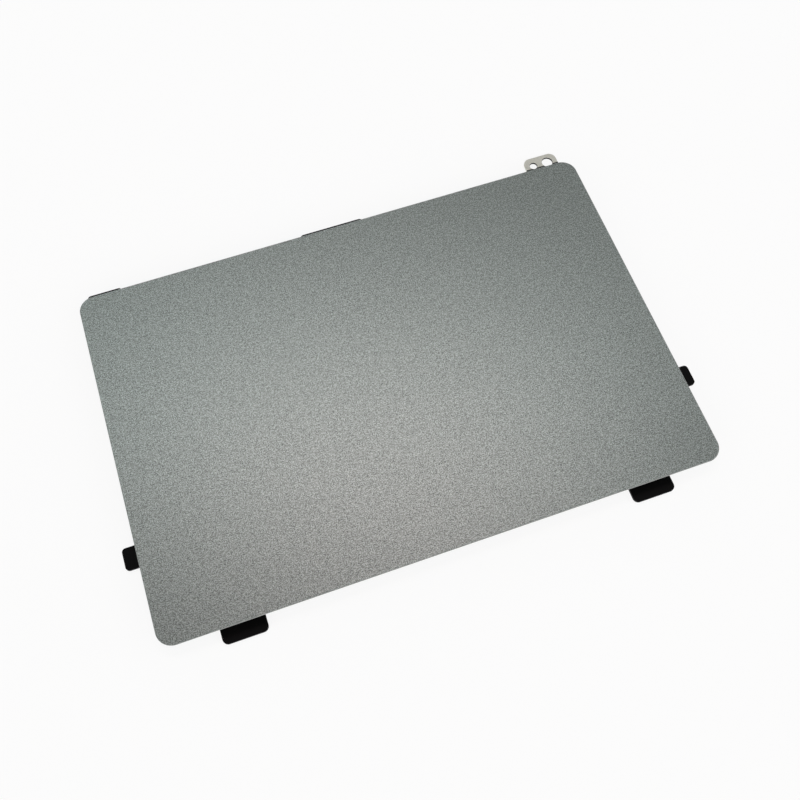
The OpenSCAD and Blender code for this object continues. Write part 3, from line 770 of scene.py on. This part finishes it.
# %% Cable socket
dress_solids(
    ("socket_housing", "pad", "socket_ivory", 0.04),
    ("socket_contacts", "pad", "contact_gold", 0.02),
    ("socket_anchors", "pad", "tin_plate", 0.03),
    ("socket_latch", "latch", "latch_brown", 0.04),
)

# %% [markdown]
# ## Chips
# A chip is moulded black resin with a dimple that marks its first lead. The body starts as a block, the
# edges away from the board are bevelled, and a short cylinder cuts the dimple. The dimple is the only
# mark: nothing is printed on it.

# %% Chip bodies


def chip(name, node, dimple):
    """A moulded body in the place of a node, with a dimple near one corner of its outer face."""
    low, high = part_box(node)
    body = block(name, low, high)
    round_edges(body, 0.04 * MM, 2, lambda edge: min(v.co.z for v in edge.verts) < low.z + WELD)
    spot = (low.x + 2.2 * dimple, high.y - 2.2 * dimple, low.z)
    bpy.ops.object.select_all(action="DESELECT")
    bpy.ops.mesh.primitive_cylinder_add(vertices=24, radius=dimple, depth=0.08 * MM, location=spot)
    cutter = bpy.context.object
    cut = body.modifiers.new("dimple", "BOOLEAN")
    cut.operation = "DIFFERENCE"
    cut.object = cutter
    alone(body)
    bpy.ops.object.modifier_apply(modifier="dimple")
    bpy.data.objects.remove(cutter)
    return smooth(body)


dress(chip("controller", "controller_chip", 0.3 * MM), "pad", "chip_black", "controller_chip")
dress(chip("memory", "memory_chip", 0.16 * MM), "pad", "chip_black", "memory_chip")
dress(chip("regulator", "regulator_chip", 0.12 * MM), "pad", "chip_black", "regulator_chip")

# %% [markdown]
# ## Solder and leads
# The controller and the memory have flat leads at their lower edge, each with a small wedge of solder.
# The wedge is a block whose outer edge is pushed down to the board. The regulator has bent leads: a stub
# leaves the body at half height, and its end face is extruded down and outward twice.

# %% Solder wedges and leads


def wedge(width, length, height):
    """A solder wedge that leans on a wall at x = 0 and thins out towards +x."""
    piece = block("wedge", (-0.03 * MM, -width / 2, 0), (length, width / 2, height))
    push_edge(piece, lambda edge: min(v.co.x for v in edge.verts) > length / 2
              and min(v.co.z for v in edge.verts) > height / 2, (0, 0, 0.03 * MM - height))
    return round_edges(piece, 0.02 * MM, 1)


def sides_of(node, count, pitch, turns):
    """The moves that set a row of parts along chosen sides of a chip."""
    low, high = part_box(node)
    centre, half = (low + high) / 2, (high - low) / 2
    for turn in turns:
        reach = half.x if turn % 2 == 0 else half.y
        for i in range(count):
            along = (i - (count - 1) / 2) * pitch
            yield under_board(centre.x, centre.y, turn * math.pi / 2) @ Matrix.Translation((reach, along, 0))


def ends_of(node):
    """The moves that set a part at both ends, along x, of each solid of a node."""
    for box in solids_of(node):
        centre, reach = middle_of(box), (box[1].x - box[0].x) / 2
        for turn in (0, math.pi):
            yield under_board(centre.x, centre.y, turn) @ Matrix.Translation((reach, 0, 0))


def bent_lead():
    """A lead that leaves a wall at x = 0, bends down to the board and ends in a flat foot."""
    width, thick, rise = 0.4 * MM, 0.12 * MM, 0.45 * MM
    lead = block("lead", (-0.1 * MM, -width / 2, rise), (0.12 * MM, width / 2, rise + thick))
    with editing(lead):
        pick("FACE", lambda face: face.normal.x > 0.9)
        for move in ((0.1 * MM, 0, 0.03 * MM - rise), (0.34 * MM, 0, -0.02 * MM)):
            bpy.ops.mesh.extrude_region_move(TRANSFORM_OT_translate={"value": move})
    return round_edges(lead, 0.02 * MM, 1)


print("wedge and lead ready")

# %% Chips on the board
joints = [
    repeat("controller-solder", wedge(0.27 * MM, 0.3 * MM, 0.2 * MM),
           sides_of("controller_chip", 12, 0.5 * MM, range(4))),
    repeat("memory-solder", wedge(0.27 * MM, 0.26 * MM, 0.16 * MM),
           sides_of("memory_chip", 4, 0.45 * MM, (0, 2))),
    repeat("diode-solder", wedge(0.42 * MM, 0.3 * MM, 0.2 * MM), ends_of("surge_diodes")),
]
leads = repeat("regulator-leads", bent_lead(), [
    *sides_of("regulator_chip", 3, 0.95 * MM, (1,)), *sides_of("regulator_chip", 2, 1.9 * MM, (3,))])
dress(smooth(leads), "pad", "tin_plate")

# %% [markdown]
# ## Capacitors, resistors and diodes
# A chip capacitor is a ceramic brick with two tin plated ends that are a little larger than the brick. A
# chip resistor is a white ceramic plate with a black glazed face and wrapped ends. Each kind is modelled
# once on the bench and hung on the board where its solids are.

# %% Helpers for small parts


def hung(node):
    """The moves that hang a bench part, lying along x, in the place of each solid of a node."""
    for low, high in solids_of(node):
        centre, size = (low + high) / 2, high - low
        yield under_board(centre.x, centre.y, 0.0 if size.x > size.y else math.pi / 2)


def brick(name, length, width, low, high, rounding):
    """A rounded block on the bench, centred on x = y = 0, between two heights."""
    piece = block(name, (-length / 2, -width / 2, low), (length / 2, width / 2, high))
    return round_edges(piece, rounding, 2)


def end_caps(name, length, width, height, cap, rounding):
    """Two plated ends."""
    ends = []
    for side in (-1, 1):
        inner, outer = sorted((side * length / 2, side * (length / 2 - cap)))
        end = block(name, (inner, -width / 2, 0), (outer, width / 2, height))
        ends.append(round_edges(end, rounding, 2))
    return join(name, ends)


def fillets(name, length, width, height):
    """Two wedges of solder at the ends of a part that lies along x."""
    master = wedge(width, 0.24 * MM, height)
    turns = [Matrix.Rotation(turn, 4, "Z") @ Matrix.Translation((length / 2, 0, 0)) for turn in (0, math.pi)]
    return repeat(name, master, turns)


def sized(node):
    """Length, width and height of the first solid of a node."""
    low, high = solids_of(node)[0]
    size = high - low
    return max(size.x, size.y), min(size.x, size.y), size.z


print("small part helpers ready")

# %% Capacitors
length, width, height = sized("capacitors")
skin = 0.02 * MM
bodies = brick("ceramic", length - 2 * skin, width - 2 * skin, skin, height - skin, 0.05 * MM)
dress(smooth(repeat("capacitor-bodies", bodies, hung("capacitors"))), "pad", "ceramic_tan", "capacitors")
caps = end_caps("cap", length, width, height, 0.32 * MM, 0.08 * MM)
dress(smooth(repeat("capacitor-ends", caps, hung("capacitors"))), "pad", "tin_plate")
joints.append(repeat("capacitor-solder", fillets("fillet", length, width, 0.4 * height), hung("capacitors")))

# %% Resistors
length, width, height = sized("resistors")
plate = brick("alumina", length - skin, width - skin, 0.5 * skin, height - 3 * skin, 0.02 * MM)
plates = smooth(repeat("resistor-plates", plate, hung("resistors")))
dress(plates, "pad", "plunger_white", finish="alumina_white")
glaze = brick("glaze", 0.56 * length, width - 2 * skin, 0.5 * height, height, 0.04 * MM)
dress(smooth(repeat("resistor-glazes", glaze, hung("resistors"))), "pad", "resistor_black", "resistors")
caps = end_caps("cap", length, width, height - skin, 0.2 * MM, 0.03 * MM)
dress(smooth(repeat("resistor-ends", caps, hung("resistors"))), "pad", "tin_plate")
joints.append(repeat("resistor-solder", fillets("fillet", length, width, 0.5 * height), hung("resistors")))

# %% Diodes
length, width, height = sized("surge_diodes")
diode = brick("diode", length, width, 0.02 * MM, height, 0.04 * MM)
dress(smooth(repeat("diode-bodies", diode, hung("surge_diodes"))), "pad", "chip_black", "surge_diodes")

# %% [markdown]
# ## Solder round posts and tabs
# The brass posts stand in solder that climbs a little up their wall. A ring starts as a short cylinder a
# little wider than the post, and its outer face is extruded and narrowed twice, which gives the hollow
# curve of wet solder. The socket's tails and anchors and the switch's terminals get wedges.

# %% Solder rings and tabs


def solder_ring(radius, height):
    """A hollow cone of solder round a post of that radius, on the bench."""
    foot, waist, top = radius + 0.45 * MM, radius + 0.2 * MM, radius + 0.03 * MM
    rim = 0.04 * MM
    bpy.ops.object.select_all(action="DESELECT")
    bpy.ops.mesh.primitive_cylinder_add(vertices=40, radius=foot, depth=rim, location=(0, 0, rim / 2))
    ring = bpy.context.object
    bpy.ops.object.transform_apply(location=True, rotation=True, scale=True)
    with editing(ring):
        pick("FACE", lambda face: face.normal.z > 0.9)
        for rise, old, new in ((0.25 * height, foot, waist), (0.6 * height, waist, top)):
            bpy.ops.mesh.extrude_region_move(TRANSFORM_OT_translate={"value": (0, 0, rise)})
            bpy.ops.transform.resize(value=(new / old, new / old, 1))
    return ring


def anchor_end(box):
    """The move to the outer end of a socket anchor, left or right of the housing."""
    left = box[0].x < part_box("socket_housing")[0].x
    return under_board(box[0].x if left else box[1].x, middle_of(box).y, math.pi if left else 0)


def terminal_end(box):
    """The move to the outer end of a switch terminal, behind or in front of the switch."""
    behind = middle_of(box).y > middle_of(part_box("switch_base")).y
    turn = -math.pi / 2 if behind else math.pi / 2
    return under_board(middle_of(box).x, box[1].y if behind else box[0].y, turn)


print("ring and tabs ready")

# %% Solder joints
for node in ("hinge_standoffs", "limiter_standoffs"):
    boxes = solids_of(node)
    radius = (boxes[0][1].x - boxes[0][0].x) / 2
    places = [under_board(middle_of(box).x, middle_of(box).y) for box in boxes]
    joints.append(repeat(f"{node}-solder", solder_ring(radius, 0.3 * MM), places))
tails = [(middle_of(box).x, box[0].y) for box in solids_of("socket_contacts")]
joints += [
    repeat("tail-solder", wedge(0.3 * MM, 0.3 * MM, 0.11 * MM),
           [under_board(x, y, math.pi / 2) for x, y in tails]),
    repeat("anchor-solder", wedge(1.5 * MM, 0.3 * MM, 0.12 * MM),
           map(anchor_end, solids_of("socket_anchors"))),
    repeat("terminal-solder", wedge(0.9 * MM, 0.3 * MM, 0.13 * MM),
           map(terminal_end, solids_of("switch_terminals"))),
]
dress(smooth(join("solder-joints", joints)), "pad", "tin_plate", finish="solder_grey")

# %% [markdown]
# ## Copper lines
# Copper lines run under the lacquer: a bus from the controller to the cable socket, and fans of sense
# lines that end in vias, where they go on to the electrode layers inside the board. Each line is a poly
# curve with a flat round section, turned into a mesh.

# %% Ribbons on the board
LINE_W, LINE_H = 0.2 * MM, 0.02 * MM


def ribbons(name, routes, width, height, closed=False):
    """Flat raised lines on the board's underside, one along each route of points."""
    curve = bpy.data.curves.new(name, "CURVE")
    curve.dimensions = "3D"
    curve.bevel_depth = width / 2
    curve.bevel_resolution = 1
    curve.use_fill_caps = True
    for route in routes:
        line = curve.splines.new("POLY")
        line.points.add(len(route) - 1)
        line.use_cyclic_u = closed
        for point, (x, y) in zip(line.points, route):
            point.co = (x, y, 0, 1)
    piece = bpy.data.objects.new(name, curve)
    bpy.context.scene.collection.objects.link(piece)
    alone(piece)
    bpy.ops.object.convert(target="MESH")
    piece.location.z = board_face
    piece.scale.z = 2 * height / width
    bpy.ops.object.transform_apply(location=True, rotation=True, scale=True)
    return smooth(piece)


print("ribbons ready")

# %% Routes of the copper lines
CLEAR = 1.2 * MM
BUS_PITCH, BUS_BEND = 0.7 * MM, 0.8 * MM
FAN_BEND = 0.5 * MM
FRONT_LINES, RIGHT_LINES = 12, 10
chip_low, chip_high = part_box("controller_chip")
chip_mid = (chip_low + chip_high) / 2
bus, fan = [], []
start = min(low.x for low, high in solids_of("capacitors")) - CLEAR
for i, (x, y) in enumerate(tails):
    level = chip_mid.y + (i - (len(tails) - 1) / 2) * BUS_PITCH
    bus.append([(start, level), (x + BUS_BEND, level), (x, level + BUS_BEND), (x, y)])
start = min(low.y for low, high in solids_of("resistors")) - CLEAR
for i in range(FRONT_LINES):
    x, level = chip_mid.x + (i - (FRONT_LINES - 1) / 2) * 0.75 * MM, start - (2 + 0.6 * i) * MM
    end = VIAS_LEFT + 0.9 * i * MM
    fan.append([(x, start), (x, level + FAN_BEND), (x - FAN_BEND, level), (end, level)])
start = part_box("memory_chip")[1].x + CLEAR
for i in range(RIGHT_LINES):
    near, far = (chip_mid.y + (i - (RIGHT_LINES - 1) / 2) * pitch * MM for pitch in (0.6, 1.8))
    bend = start + 2 * MM + abs(far - near)
    fan.append([(start, near), (start + 2 * MM, near), (bend, far), (VIAS_RIGHT, far)])
print("lines of the bus:", len(bus), "lines of the fans:", len(fan))

# %% Copper lines and feeds
STUB = 1.2 * MM
spots = [(SPOTS_LEFT + 4 * i * MM, chip_mid.y + y * MM) for i in range(5) for y in (-3, 0)]
stubs = [[(x, y), (x, y + STUB if y > chip_mid.y - MM else y - STUB)] for x, y in spots]
lines = ribbons("copper-lines", bus + fan + stubs, LINE_W, LINE_H)
dress(lines, "pad", "board_green", finish="lacquered_copper")
from_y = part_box("regulator_chip")[0].y - 0.3 * MM
to_y = max(high.y for low, high in solids_of("capacitors")) - 0.3 * MM
feeds = [
    [(chip_mid.x + side * 0.95 * MM, from_y), (chip_mid.x + side * 0.9 * MM, to_y)]
    for side in (-1, 0, 1)
]
dress(ribbons("copper-feeds", feeds, 0.5 * MM, LINE_H), "pad", "board_green", finish="lacquered_copper")

# %% [markdown]
# ## Vias and test pads
# A via is a plated hole that takes a line to an inner layer: a thin disc whose face is inset and pushed
# in. Test pads and two alignment spots are bare gold, and their face is inset and lifted a little.

# %% Vias and test pads


def disc(radius, hole, height):
    """A thin disc on the bench, with a pushed-in middle where hole is above zero."""
    bpy.ops.object.select_all(action="DESELECT")
    bpy.ops.mesh.primitive_cylinder_add(vertices=20, radius=radius, depth=height, location=(0, 0, height / 2))
    piece = bpy.context.object
    bpy.ops.object.transform_apply(location=True, rotation=True, scale=True)
    with editing(piece):
        pick("FACE", lambda face: face.normal.z > 0.9)
        bpy.ops.mesh.inset(thickness=radius - hole if hole else 0.1 * radius)
        down = -0.8 * height if hole else 0.2 * height
        bpy.ops.mesh.extrude_region_move(TRANSFORM_OT_translate={"value": (0, 0, down)})
    return piece


ends = [route[0] for route in bus + fan] + [route[-1] for route in fan + stubs]
vias = repeat("vias", disc(0.26 * MM, 0.11 * MM, 0.03 * MM), [under_board(x, y) for x, y in ends])
dress(smooth(vias), "pad", "contact_gold")
ALIGN_X = 38 * MM
spots += [(-ALIGN_X, board_high.y - 17 * MM), (ALIGN_X, board_low.y + 16 * MM)]
test_pads = repeat("test-pads", disc(0.55 * MM, 0, 0.03 * MM), [under_board(x, y) for x, y in spots])
dress(smooth(test_pads), "pad", "contact_gold")

# %% [markdown]
# ## Placement marks
# White ink frames show where each part goes, and a dot marks a first lead. The real board prints names
# beside them. Here there is no text, only the frames and dots.

# %% Placement marks


def frame_mark(node, across, along):
    """A rectangle round a node with these margins."""
    low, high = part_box(node)
    left, right, front, rear = low.x - across, high.x + across, low.y - along, high.y + along
    return [(left, front), (right, front), (right, rear), (left, rear)]


marks = [frame_mark(node, across * MM, along * MM) for node, across, along in (
    ("controller_chip", 0.75, 0.75), ("memory_chip", 0.6, 0.5), ("regulator_chip", 0.4, 0.95),
    ("socket_housing", 1.3, 0.9))]
frames = ribbons("placement-frames", marks, 0.15 * MM, 0.015 * MM, True)
dress(frames, "pad", "plunger_white", finish="marking_ink")
firsts = [under_board(mark[3][0] - 0.35 * MM, mark[3][1] + 0.35 * MM) for mark in marks]
dress(smooth(repeat("first-lead-dots", disc(0.2 * MM, 0, 0.02 * MM), firsts)), "pad", "plunger_white",
      finish="marking_ink")

# %% [markdown]
# ## Floor
# The object lies on a pale floor. The floor is white paper: it reflects light and keeps the object's
# shadow, and a share of it glows evenly for the camera and for reflections, so the background comes out
# white without more lamps. Far off, all of it glows, so that the floor runs into the walls with no seam.

# %% Floor
GLOW, RISE = 0.88, (0.2, 0.8)
bpy.ops.object.select_all(action="DESELECT")
bpy.ops.mesh.primitive_plane_add(size=12, location=(0, 0, -0.02 * MM))
floor = bpy.context.object
floor.name = "floor"
paper = Finish("floor_paper")
white = paper.mix(paper.noise(3 * MM, detail=3.0), (0.95, 0.95, 0.95), (0.99, 0.99, 0.99))
matt = paper.node("ShaderNodeBsdfDiffuse", None, {"Color": white})
glow = paper.node("ShaderNodeEmission", None, {"Color": (1, 1, 1, 1), "Strength": 1.0})
seen = 0
for kind in ("Camera", "Glossy", "Transmission"):
    seen = paper.node("ShaderNodeLightPath", output=f"Is {kind} Ray").maths("MAXIMUM", seen)
x, y = paper.axis("X"), paper.axis("Y")
far = (x * x + y * y).maths("SQRT").ramp(*RISE)
mixed = paper.node("ShaderNodeMixShader", None, {0: seen * (far * (1 - GLOW) + GLOW), 1: matt, 2: glow})
paper.node("ShaderNodeOutputMaterial", None, {"Surface": mixed})
floor.data.materials.append(paper.data)
print("floor glows by", GLOW, "near the object")

# %% [markdown]
# ## Room
# Metal shows its surroundings, so the room matters. It is white near the horizon, where the walls stand,
# and darker overhead, where only the lamps are bright.

# %% Room
room = Finish("light room", "worlds")
height = room.axis("Z", room.node("ShaderNodeTexCoord", output="Generated"))
walls = room.mix(height.ramp(0.2, 0.7), (1, 1, 1), (0.12, 0.12, 0.12))
light = room.node("ShaderNodeBackground", None, {"Color": walls, "Strength": 1.0})
room.node("ShaderNodeOutputWorld", None, {"Surface": light})
bpy.context.scene.world = room.data
print("room:", bpy.context.scene.world.name)

# %% [markdown]
# ## Lamps
# A broad box hangs nearly overhead, a little to the rear, and gives the wide slanted sheen across the film.
# A narrow strip beside it is warmer, and the front of the film, which mirrors it, is less green than the
# rear. Three walls of light stand round the front and light the floor and the sides. They are large, so
# that the film mirrors them as a pale haze and not as glaring spots. Each lamp's power is worked out from
# the share of full white that it gives at the film.

# %% Lamps


def softbox(name, direction, distance, size, share, along=(0, 0, 1), colour=(1, 1, 1)):
    """A rectangular area lamp that gives a share of full white where it aims."""
    data = bpy.data.lights.new(name, "AREA")
    data.shape = "RECTANGLE"
    data.size, data.size_y = size
    data.color = colour
    data.energy = share * math.pi ** 2 * distance ** 2
    lamp = bpy.data.objects.new(name, data)
    bpy.context.scene.collection.objects.link(lamp)
    back = Vector(direction).normalized()
    side = (Vector(along) - back * back.dot(along)).normalized()
    turn = Matrix((side, back.cross(side), back)).transposed().to_4x4()
    lamp.matrix_world = Matrix.Translation(film_middle + back * distance) @ turn
    print(name, "gives", share, "with", round(data.energy, 2), "W")


SLANT = (0.945, -0.326, 0)
OVERHEAD, WALL_AWAY = 0.95, 2.2
COOL, WARM = (0.893, 1, 1), (1, 0.644, 0.655)
softbox("broad box", (0.058, 0.374, 0.926), OVERHEAD, (0.83, 0.24), 0.17, SLANT, COOL)
softbox("warm strip", (0.079, 0.28, 0.957), OVERHEAD, (0.45, 0.1), 0.0834, SLANT, WARM)
WALLS = (("left", (-0.8, -0.5, 0.42)), ("front", (0.1, -0.9, 0.42)), ("right", (0.85, -0.4, 0.42)))
for name, direction in WALLS:
    softbox(f"{name} wall", direction, WALL_AWAY, (2, 2), 0.3)

# %% [markdown]
# ## Camera
# The place and direction were found from the four corners of the film in the photograph, once its width
# was taken as 105 mm: the lens then follows from how the far edge shrinks. The focal length is in pixels
# of the photograph.

# %% Camera
PHOTO_SIDE, FOCAL = 800, 903.25
CAMERA_PLACE = Vector((-21.87, -70.025, 157.85)) * MM
right = Vector((0.9447, -0.3279, 0.0009)).normalized()
forward = Vector((0.1317, 0.3768, -0.9169)).normalized()
up = right.cross(forward).normalized()
right = forward.cross(up)
camera_data = bpy.data.cameras.new("camera")
camera_data.sensor_width = 36
camera_data.lens = FOCAL / PHOTO_SIDE * camera_data.sensor_width
camera_data.clip_start = 0.01
camera = bpy.data.objects.new("camera", camera_data)
bpy.context.scene.collection.objects.link(camera)
axes = Matrix((right, up, -forward)).transposed().to_4x4()
camera.matrix_world = Matrix.Translation(CAMERA_PLACE) @ axes
bpy.context.scene.camera = camera
bpy.context.scene.view_settings.view_transform = "Standard"
print("camera at", [round(v / MM, 1) for v in camera.location], "lens", round(camera_data.lens, 2))
